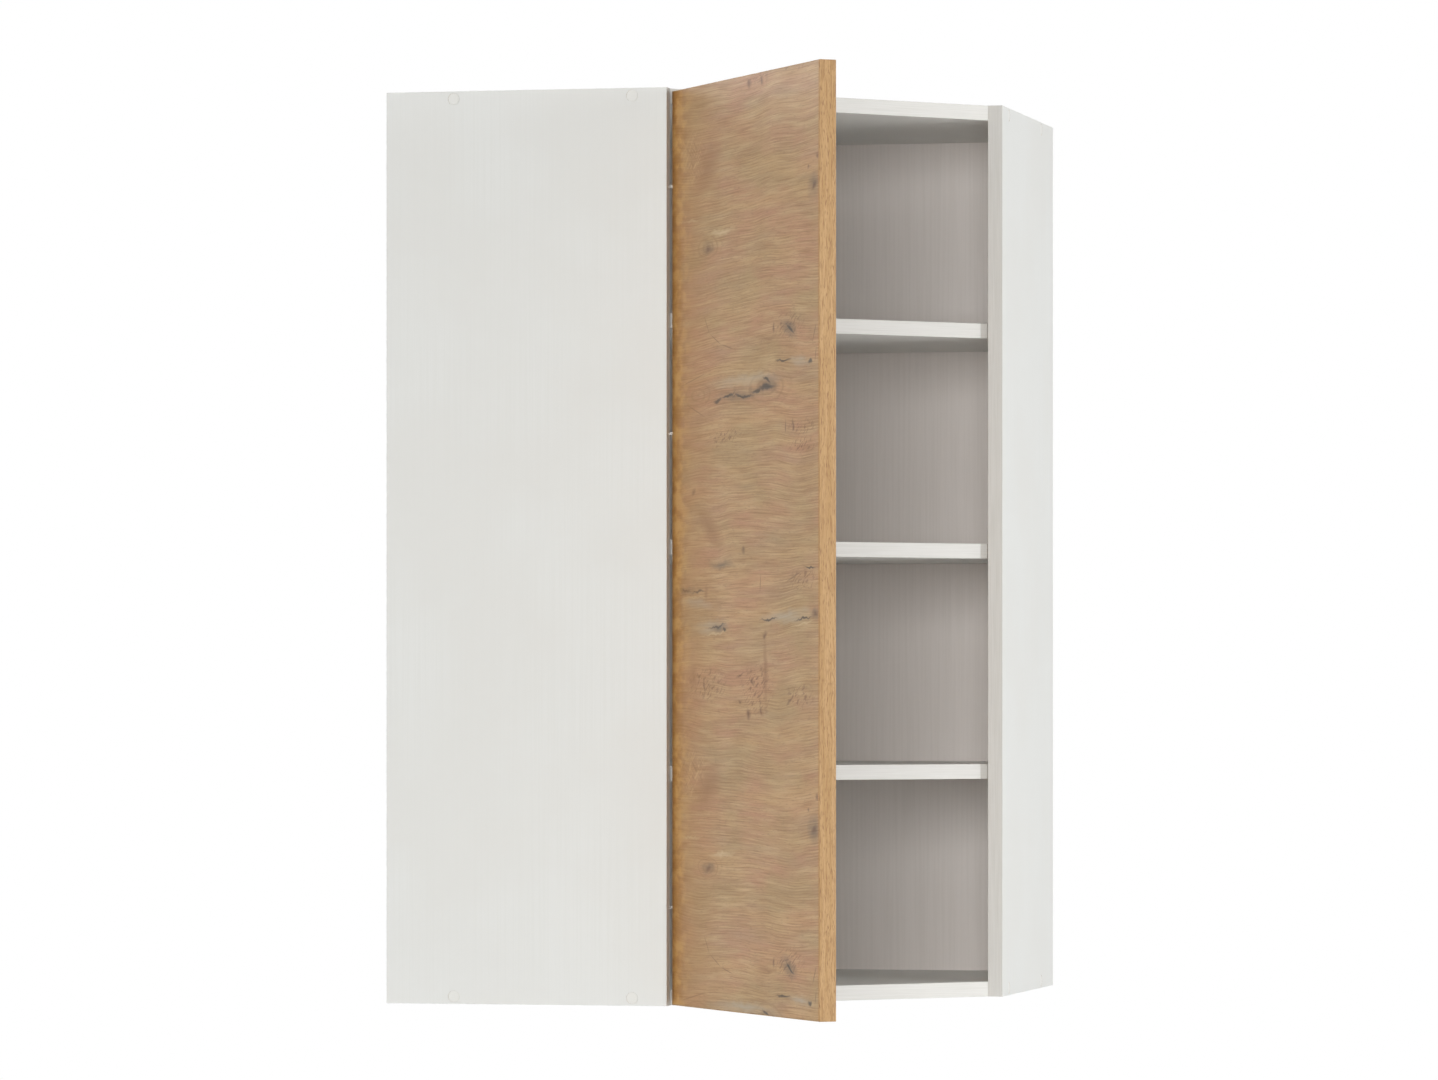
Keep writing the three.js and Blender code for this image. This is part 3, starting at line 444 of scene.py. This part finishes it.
def edged(node, material, body, width):
    """Replaces a CAD node by its own shape with every outer corner broken by a width."""
    shape = merged(node)
    outer = [edge for edge in shape.edges if edge.is_convex and edge.calc_face_angle() > SHARP]
    bmesh.ops.bevel(shape, geom=outer, offset=width, segments=1, profile=0.5, affect="EDGES",
                    material=-1, clamp_overlap=True)
    piece = fitted(f"{node}_finished", shape, material, body, node)
    piece.data.shade_smooth()
    piece.data.set_sharp_from_angle(angle=SHARP)


for node in frame["nodes"]:
    if node.startswith(("screw_", "hanger_housing_", "hanger_cover_")):
        edged(node, plastic, "carcass", PLASTIC_EDGE)

# ---------------------------------------------------------------- metal fittings
# Pressed steel, tumbled so that no corner is sharp, and plated: nickel on the shelf pins, the hinge
# brackets and the hinge pins, blue zinc on the hanger hooks, the adjusting screws and the sockets.

METAL_EDGE = 0.25 * MM
# In mm. Real scratches are finer.
PLATING_CLOUD = 9
SCRATCH, SCRATCH_RUN = 0.3, 2.5


def plated(name, light, dark, roughness):
    """Plated steel, with faint cloudiness and the scratches that tumbling leaves."""
    material, tree, shader, place = new_material(name, roughness)
    cloud = drawn_out(tree, place, [PLATING_CLOUD] * 3, detail=4.0)
    tone = stain(tree, colour(light), dark, cloud, 0.35, 0.65, 1.0)
    tree.links.new(tone, shader.inputs["Base Color"])
    scratch = drawn_out(tree, place, (SCRATCH, SCRATCH_RUN, SCRATCH_RUN))
    limits = {"To Min": roughness - 0.08, "To Max": roughness + 0.1}
    rough = add(tree, "ShaderNodeMapRange", {"Value": scratch, **limits})
    tree.links.new(rough.outputs[0], shader.inputs["Roughness"])
    shader.inputs["Metallic"].default_value = 1.0
    return material


nickel = plated("nickel_plated_steel", "#cbc8c2", "#b3afa8", 0.28)
zinc = plated("zinc_plated_steel", "#b9bcbf", "#9b9ea2", 0.38)
for node in frame["nodes"]:
    if "_shelf_pin_" in node or node.startswith("hinge_bracket_"):
        edged(node, nickel, "carcass", METAL_EDGE)
    if node.startswith("hinge_pin_"):
        edged(node, nickel, "door", METAL_EDGE)
    if node.startswith("hinge_socket_"):
        edged(node, zinc, "door", METAL_EDGE)
    if node.startswith(("hanger_hook_", "hanger_adjusting_screw_")):
        edged(node, zinc, "carcass", METAL_EDGE)

# ---------------------------------------------------------------- door
# Chipboard under a printed knotty-oak film with its grain across the door. The print comes again
# 636 mm higher. Its dark lines and cracks are pressed into the film. Along the hinge edge the film is
# coloured a darker orange: painted shade and painted bounced light from the side panel beside it.

DOOR_TURN = math.radians(-55)
HINGE_EDGE = 5.5 * MM
HINGE = Vector(frame["joints"][0]["pos_m"])
PRINT_REPEAT = 636
PRINT_START = -36
SAW_STEP = 3.1
RING_FOLD = 0.14

# Each mark of the print: how far along the door and how high its middle is, its half length, its
# half height and its slope in degrees. Sizes are in mm, and heights run from PRINT_START.
CRACKS = [
    (128, -12, 14, 2.8, 0),
    (156, -8, 22, 1.8, 8),
    (197, -10, 32, 1.7, -3),
    (232, -7, 18, 3.0, 6),
    (256, -4, 26, 4.2, 4),
    (258, 4, 12, 2.2, -12),
    (321, 51, 14, 1.8, -28),
    (302, 22, 24, 1.5, -2),
    (373, 18, 6, 2.6, 0),
    (26, 432, 34, 1.8, -2),
    (74, 430, 20, 1.6, 2),
    (126, 393, 28, 1.5, 4),
    (146, 389, 6, 2.2, 0),
    (355, 399, 26, 1.4, 2),
    (266, 400, 28, 1.4, 0),
    (372, 449, 18, 1.3, -2),
]
HAIRLINES = [
    (97, 67, 14, 0.9, -52),
    (121, 51, 18, 0.8, -22),
    (153, 42, 18, 0.8, -10),
    (386, 24, 10, 1.0, 76),
    (383, 46, 12, 1.2, 62),
    (242, 435, 11, 1.1, 84),
    (330, 441, 24, 1.0, 14),
    (66, -20, 34, 0.8, -16),
    (60, 12, 40, 0.8, 9),
]
KNOTS = [
    (100, 145, 10, 5, 0),
    (61, 532, 8, 3, 15),
    (197, 469, 6, 5, 0),
    (278, 55, 3.4, 7, 6),
    (10, -26, 4, 9, 0),
    (366, 210, 3.4, 2.6, 0),
    (389, 221, 5, 4, 0),
    (381, 190, 9, 5, 20),
    (329, 592, 3, 8, 4),
    (308, 592, 2.6, 8, 10),
    (187, 316, 6, 2.2, 5),
    (212, 305, 6, 6, 30),
    (244, 307, 3, 7, 4),
    (219, 335, 9, 2.4, -30),
    (189, 344, 14, 1.6, 16),
    (386, 402, 12, 5, 0),
    (75, 341, 6, 3, 12),
    (90, 331, 3, 9, 12),
    (254, 383, 7, 4, 40),
    (320, 317, 14, 2.4, 28),
    (10, 560, 3, 16, 0),
]
DARK_SMOKE = [
    (262, -2, 36, 12, 4),
    (200, -8, 90, 7, 0),
    (381, 190, 20, 17, 0),
    (100, 146, 24, 9, 0),
    (318, 52, 26, 11, -20),
    (140, 456, 44, 5, 0),
    (386, 402, 16, 8, 0),
    (130, 392, 30, 5, 0),
    (40, 431, 50, 5, 0),
]
LIGHT_SMOKE = [
    (348, 19, 38, 6, -3),
    (108, 393, 58, 9, 2),
    (318, 402, 84, 9, 1),
    (200, 6, 110, 8, 0),
    (60, 418, 60, 7, -4),
]
PALE_STREAKS = [
    (138, 160, 44, 3.4, 3),
    (355, 394, 36, 1.4, 4),
    (118, 386, 46, 1.6, 3),
    (50, 176, 40, 1.8, 0),
    (66, 424, 44, 1.6, -3),
]
BROWN_SHADE = [
    (105, 494, 52, 16, -28),
    (256, 345, 6, 50, 1),
    (60, 341, 14, 14, 0),
    (212, 304, 9, 7, 0),
    (245, 305, 8, 6, 0),
    (95, 428, 6, 12, 0),
    (98, 226, 50, 24, 28),
    (12, 572, 34, 8, 0),
    (262, 46, 34, 4, 0),
]
FLECKED = [
    (148, 586, 60, 9, 4),
    (96, 334, 64, 22, 0),
    (232, 330, 50, 34, 0),
    (345, 322, 44, 16, 0),
    (318, 56, 46, 18, 0),
    (350, 571, 44, 10, 0),
    (352, 438, 44, 14, 0),
    (350, 590, 44, 10, 0),
]
RAYED = [
    (62, 240, 40, 32, 0),
    (20, 246, 22, 26, 0),
]
RINGED = [
    (72, -5, 58, 20, 0),
    (100, 146, 46, 18, 0),
    (258, -3, 76, 26, 0),
]


def door_place(tree, place):
    """Metres along the door from its hinge edge, out from its middle, and up."""
    shift = -(Matrix.Rotation(-DOOR_TURN, 3, "Z") @ HINGE) + Vector((HINGE_EDGE, 0, 0))
    turned = {"Vector": place, "Rotation": (0, 0, -DOOR_TURN), "Location": shift}
    return add(tree, "ShaderNodeMapping", turned).outputs[0]


def wander(tree, place, size, reach):
    """The place moved about by smooth noise of a size, by up to half a reach, in mm."""
    noise = add(tree, "ShaderNodeTexNoise", {"Vector": place, "Scale": 1 / (size * MM), "Detail": 2.0})
    moved = add(tree, "ShaderNodeVectorMath", {0: noise.outputs["Color"], 1: (0.5, 0.5, 0.5)},
                operation="SUBTRACT")
    moved = add(tree, "ShaderNodeVectorMath", {0: moved.outputs[0], "Scale": reach * MM},
                operation="SCALE")
    moved = add(tree, "ShaderNodeVectorMath", {0: place, 1: moved.outputs[0]}, operation="ADD")
    return moved.outputs[0]


def in_print(tree, place):
    """The place with its height taken within one repeat of the print."""
    parts = add(tree, "ShaderNodeSeparateXYZ", {0: place})
    height = add(tree, "ShaderNodeMath", {0: parts.outputs[2], 1: (PRINT_START + PRINT_REPEAT) * MM,
                                          2: PRINT_START * MM}, operation="WRAP")
    return add(tree, "ShaderNodeCombineXYZ", {0: parts.outputs[0], 2: height.outputs[0]}).outputs[0]


def nearness(tree, place, marks):
    """How near a place is to the nearest of the marks: 1 at its middle, and 0 from its edge outwards."""
    nearest = 0.0
    for along, height, half_length, half_height, slope in marks:
        spot = add(tree, "ShaderNodeMapping", {
            "Vector": place,
            "Location": (along * MM, 0, height * MM),
            "Rotation": (0, -math.radians(slope), 0),
            "Scale": (half_length * MM, 1, half_height * MM),
        }, vector_type="TEXTURE")
        near = add(tree, "ShaderNodeTexGradient", {"Vector": spot.outputs[0]},
                   gradient_type="SPHERICAL")
        nearest = add(tree, "ShaderNodeMath", {0: nearest, 1: near.outputs["Fac"]},
                      operation="MAXIMUM").outputs[0]
    return nearest


def sloped(tree, place, degrees):
    """The place turned so that what runs level along it comes to rise by some degrees."""
    turned = {"Vector": place, "Rotation": (0, math.radians(degrees), 0)}
    return add(tree, "ShaderNodeMapping", turned).outputs[0]


oak, tree, shader, place = new_material("knotty_oak_film", 0.55)
place = door_place(tree, place)
# The lines bend in slow curves, and the cracks and knots are ragged.
wavy = wander(tree, wander(tree, place, 260, 34), 70, 2)
repeated = in_print(tree, place)
ragged = in_print(tree, wander(tree, wander(tree, place, 30, 10), 8, 4.5))
# Body: patches of pink, yellow and greyish tan about 130 by 45 mm.
patch = drawn_out(tree, place, (130, 130, 46))
body = stain(tree, colour("#b98d6d"), "#b0926a", patch, 0.4, 0.62, 1.0)
grey = drawn_out(tree, wavy, (170, 170, 30))
body = stain(tree, body, "#ab9273", grey, 0.5, 0.66, 0.4)
tone = drawn_out(tree, wavy, (230, 230, 18))
body = stain(tree, body, "#c6a174", tone, 0.44, 0.66, 0.6)
light = drawn_out(tree, wavy, (80, 80, 6))
body = stain(tree, body, "#cdaf85", light, 0.5, 0.7, 0.5)
# Dark and light growth lines, about 60 mm long and 2 to 3 mm apart.
line = drawn_out(tree, wavy, (56, 56, 1.2))
body = stain(tree, body, "#94704f", line, 0.5, 0.68, 0.55)
pale_line = drawn_out(tree, wander(tree, wavy, 60, 2), (60, 60, 1.4))
body = stain(tree, body, "#d6b78c", pale_line, 0.53, 0.7, 0.42)
# Saw lines a step apart, which come and go. At scale 0.314 Blender's wave has a period of 1.
per_step = (1 / (150 * MM), 1, 1 / (SAW_STEP * MM))
saw_place = add(tree, "ShaderNodeMapping", {"Vector": wavy, "Scale": per_step}).outputs[0]
saw = {"Vector": saw_place, "Scale": 0.314, "Distortion": 1.5, "Detail": 2.0, "Detail Scale": 1.2}
saw = add(tree, "ShaderNodeTexWave", saw, bands_direction="Z").outputs["Fac"]
sawn = drawn_out(tree, place, (70, 70, 34))
sawn = add(tree, "ShaderNodeMapRange", {"Value": sawn, "From Min": 0.46, "From Max": 0.6}).outputs[0]
body = stain(tree, body, "#8f6d4b", saw, 0.45, 1.0, 0.32, sawn)
# Open pores, drawn 8 by 0.9 mm, which is coarser than real ones, so that they show.
pore = drawn_out(tree, wavy, (8, 8, 0.9), detail=2.0)
body = stain(tree, body, "#7d5d45", pore, 0.56, 0.7, 0.28)
# Growth rings round the knots, 5 to 7 mm apart across the grain, and rays that cross it.
near_knot = nearness(tree, in_print(tree, wander(tree, place, 24, 9)), RINGED)
ring = add(tree, "ShaderNodeMath", {0: near_knot, 1: RING_FOLD}, operation="PINGPONG").outputs[0]
near_knot = add(tree, "ShaderNodeMapRange", {"Value": near_knot, "From Max": 0.5}).outputs[0]
body = stain(tree, body, "#9a7753", ring, 0.07, 0.13, 0.5, near_knot)
rayed = nearness(tree, ragged, RAYED)
rayed = add(tree, "ShaderNodeMapRange", {"Value": rayed, "From Max": 0.5}).outputs[0]
ray = drawn_out(tree, sloped(tree, place, 42), (16, 16, 2.2))
body = stain(tree, body, "#d9b88c", ray, 0.52, 0.64, 0.6, rayed)
ray = drawn_out(tree, sloped(tree, place, -38), (14, 14, 2.6))
body = stain(tree, body, "#8d6b4d", ray, 0.54, 0.66, 0.5, rayed)
# Brown shades and flecks.
body = stain(tree, body, "#8f6749", nearness(tree, ragged, BROWN_SHADE), 0.0, 1.0, 0.65)
flecked = nearness(tree, ragged, FLECKED)
flecked = add(tree, "ShaderNodeMapRange", {"Value": flecked, "From Max": 0.6}).outputs[0]
fleck = drawn_out(tree, sloped(tree, ragged, 26), (9, 9, 2.4), detail=1.0)
body = stain(tree, body, "#7c563f", fleck, 0.54, 0.62, 0.65, flecked)
# Smoke-grey staining round the cracks, broken up by the growth lines.
broken = {"Value": light, "From Min": 0.62, "From Max": 0.4, "To Min": 0.45}
broken = add(tree, "ShaderNodeMapRange", broken).outputs[0]
body = stain(tree, body, "#b6ab98", nearness(tree, ragged, LIGHT_SMOKE), 0.0, 0.9, 0.75, broken)
body = stain(tree, body, "#d8c39b", nearness(tree, ragged, PALE_STREAKS), 0.0, 0.9, 0.55)
body = stain(tree, body, "#746758", nearness(tree, ragged, DARK_SMOKE), 0.0, 0.9, 0.85, broken)
body = stain(tree, body, "#7a5a42", nearness(tree, repeated, HAIRLINES), 0.0, 0.5, 0.6)
body = stain(tree, body, "#6b4c39", nearness(tree, ragged, KNOTS), 0.0, 0.8, 0.7)
crack = nearness(tree, ragged, CRACKS)
body = stain(tree, body, "#48403a", crack, 0.0, 0.6, 0.85)
# Painted shade and painted bounced light: orange toning towards the hinge edge, beside the side
# panel, mottled there. A thin orange line at the free edge.
along = add(tree, "ShaderNodeSeparateXYZ", {0: wander(tree, place, 34, 30)}).outputs[0]
body = stain(tree, body, "#a5763f", along, 0.14, 0.0, 0.65)
body = stain(tree, body, "#bd8840", along, 0.036, 0.004, 0.7)
mottle = drawn_out(tree, place, (20, 20, 11))
at_hinges = {"Value": along, "From Min": 0.06, "From Max": 0.01}
at_hinges = add(tree, "ShaderNodeMapRange", at_hinges).outputs[0]
body = stain(tree, body, "#d3a86a", mottle, 0.48, 0.62, 0.55, at_hinges)
body = stain(tree, body, "#8d5f30", mottle, 0.5, 0.36, 0.4, at_hinges)
straight = add(tree, "ShaderNodeSeparateXYZ", {0: place}).outputs[0]
body = stain(tree, body, "#b98038", straight, 0.391, 0.394, 0.5)
tree.links.new(body, shader.inputs["Base Color"])
sunk = add(tree, "ShaderNodeMapRange", {"Value": crack, "From Max": 0.6, "To Max": -1.5})
height = add(tree, "ShaderNodeMath", {0: line, 1: sunk.outputs[0]}, operation="ADD")
relief(tree, shader, height.outputs[0], 0.1)
rough = {"Value": line, "From Min": 0.3, "From Max": 0.7, "To Min": 0.5, "To Max": 0.64}
rough = add(tree, "ShaderNodeMapRange", rough)
tree.links.new(rough.outputs[0], shader.inputs["Roughness"])
paint(["door_panel"], oak)

# ---------------------------------------------------------------- door edge bands
# 1 mm ABS band printed as plain oak, glued on the door's four edges with its grain along it. Its
# outer corners are milled round, which leaves it standing flush with the film.

DOOR_ROUNDING = 0.7 * MM


def printed_band(name, slope):
    """Oak-printed ABS with its grain at a slope in degrees from level."""
    material, tree, shader, place = new_material(name, 0.48)
    place = sloped(tree, wander(tree, door_place(tree, place), 60, 5), slope)
    # Tones 4 mm wide, lines of 1 mm and pores of 0.7 mm, all drawn out along the grain.
    tone = drawn_out(tree, place, (160, 4, 4))
    body = stain(tree, colour("#aa8554"), "#b69263", tone, 0.36, 0.64, 1.0)
    line = drawn_out(tree, place, (28, 1.1, 1.1))
    body = stain(tree, body, "#90683a", line, 0.48, 0.68, 0.75)
    pore = drawn_out(tree, place, (7, 0.7, 0.7), detail=1.0)
    body = stain(tree, body, "#7a5330", pore, 0.56, 0.68, 0.7)
    tree.links.new(body, shader.inputs["Base Color"])
    relief(tree, shader, line, 0.04)
    return material


to_door = Matrix.Rotation(-DOOR_TURN, 4, "Z") @ Matrix.Translation(-HINGE)
band_shapes = {}
for edge in ["hinge_side", "free_side", "bottom", "top"]:
    band_shapes[edge] = merged(f"door_edge_band_{edge}")
    bmesh.ops.transform(band_shapes[edge], matrix=to_door, verts=band_shapes[edge].verts)
points = [vertex.co for shape in band_shapes.values() for vertex in shape.verts]
door_limits = [(axis, end(point[axis] for point in points)) for axis in (X, Y, Z) for end in (min, max)]


def limits_at(vertex):
    """The sides of the whole door that a point of it lies on."""
    return {(axis, limit) for axis, limit in door_limits if abs(vertex.co[axis] - limit) < SAME_PLACE}


upright_print = printed_band("oak_printed_abs_band_upright", 90)
level_print = printed_band("oak_printed_abs_band_level", 0)
for edge, shape in band_shapes.items():
    corners = [
        side for side in shape.edges
        if len(limits_at(side.verts[0]) & limits_at(side.verts[1])) > 1
    ]
    bmesh.ops.bevel(shape, geom=corners, offset=DOOR_ROUNDING, segments=ROUND_STEPS, profile=0.5,
                    affect="EDGES", material=-1)
    bmesh.ops.transform(shape, matrix=to_door.inverted(), verts=shape.verts)
    print_used = level_print if edge in ("bottom", "top") else upright_print
    node = f"door_edge_band_{edge}"
    fitted(f"{node}_rounded", shape, print_used, "door", node)

# ---------------------------------------------------------------- door bumpers
# Soft clear polyurethane buttons, cast as low domes and stuck on the door's inner face near its
# free edge to quieten it when it shuts.

BUMPER_DOME = 1.1 * MM
DOME_STEPS = 5
HAZE = 1.5

# Clear rubber: glossy and half see-through, with a faint haze.
clear_rubber, tree, shader, place = new_material("cast_clear_polyurethane", 0.2)
haze = drawn_out(tree, place, [HAZE] * 3)
tone = stain(tree, colour("#e6e6e0"), "#d6d6cf", haze, 0.4, 0.6, 1.0)
tree.links.new(tone, shader.inputs["Base Color"])
shader.inputs["Transmission Weight"].default_value = 0.5
shader.inputs["IOR"].default_value = 1.48
outward = Vector((math.sin(-DOOR_TURN), math.cos(DOOR_TURN), 0))
for node in ["door_bumper_bottom", "door_bumper_top"]:
    shape = merged(node)
    rims = [edge for edge in shape.edges if edge.calc_face_angle() > SHARP]
    outermost = max(vertex.co.dot(outward) for edge in rims for vertex in edge.verts)
    rims = [edge for edge in rims if edge.verts[0].co.dot(outward) > outermost - SAME_PLACE]
    bmesh.ops.bevel(shape, geom=rims, offset=BUMPER_DOME, segments=DOME_STEPS, profile=0.5,
                    affect="EDGES", material=-1)
    piece = fitted(f"{node}_dome", shape, clear_rubber, "door", node)
    piece.data.shade_smooth()
